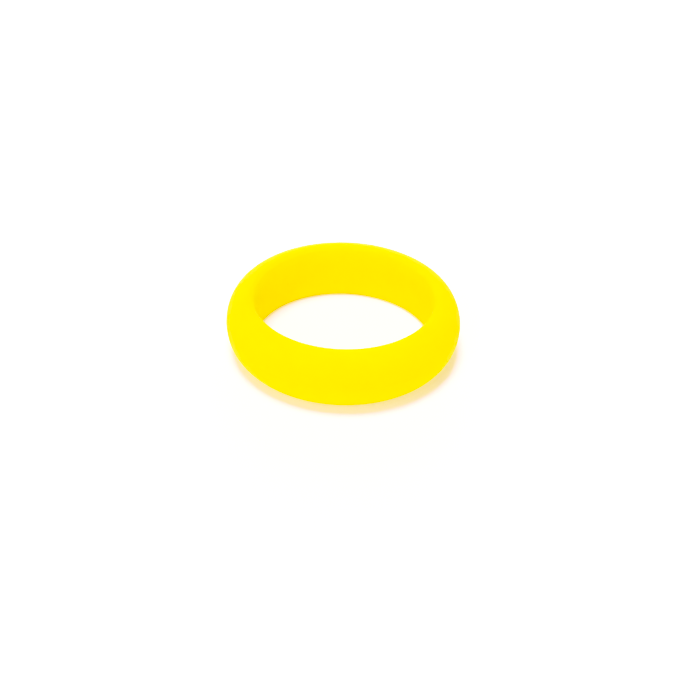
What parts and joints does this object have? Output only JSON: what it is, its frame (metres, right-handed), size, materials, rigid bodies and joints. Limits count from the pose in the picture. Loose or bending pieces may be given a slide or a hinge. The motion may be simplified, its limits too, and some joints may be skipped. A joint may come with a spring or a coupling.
{
  "type": "juggling ring",
  "caption": "Small one-piece soft moulded ring of the juggling trade, such as a club's collar ring: straight round bore, domed crown outside, stretched on to a neck to cushion it.",
  "frame": {"origin": "centre of the bore at the ring's mid height, which is the centre of the ring", "axes": "+Z along the bore; the ring is the same either way up, and X and Y are any two directions square to the bore"},
  "size_m": [0.0446, 0.0446, 0.0114],
  "materials": {
    "silicone_rubber": "matte bright yellow silicone rubber, coloured right through, as moulded"
  },
  "bodies": {
    "root": {"moulded_ring": "silicone_rubber"}
  },
  "joints": []
}
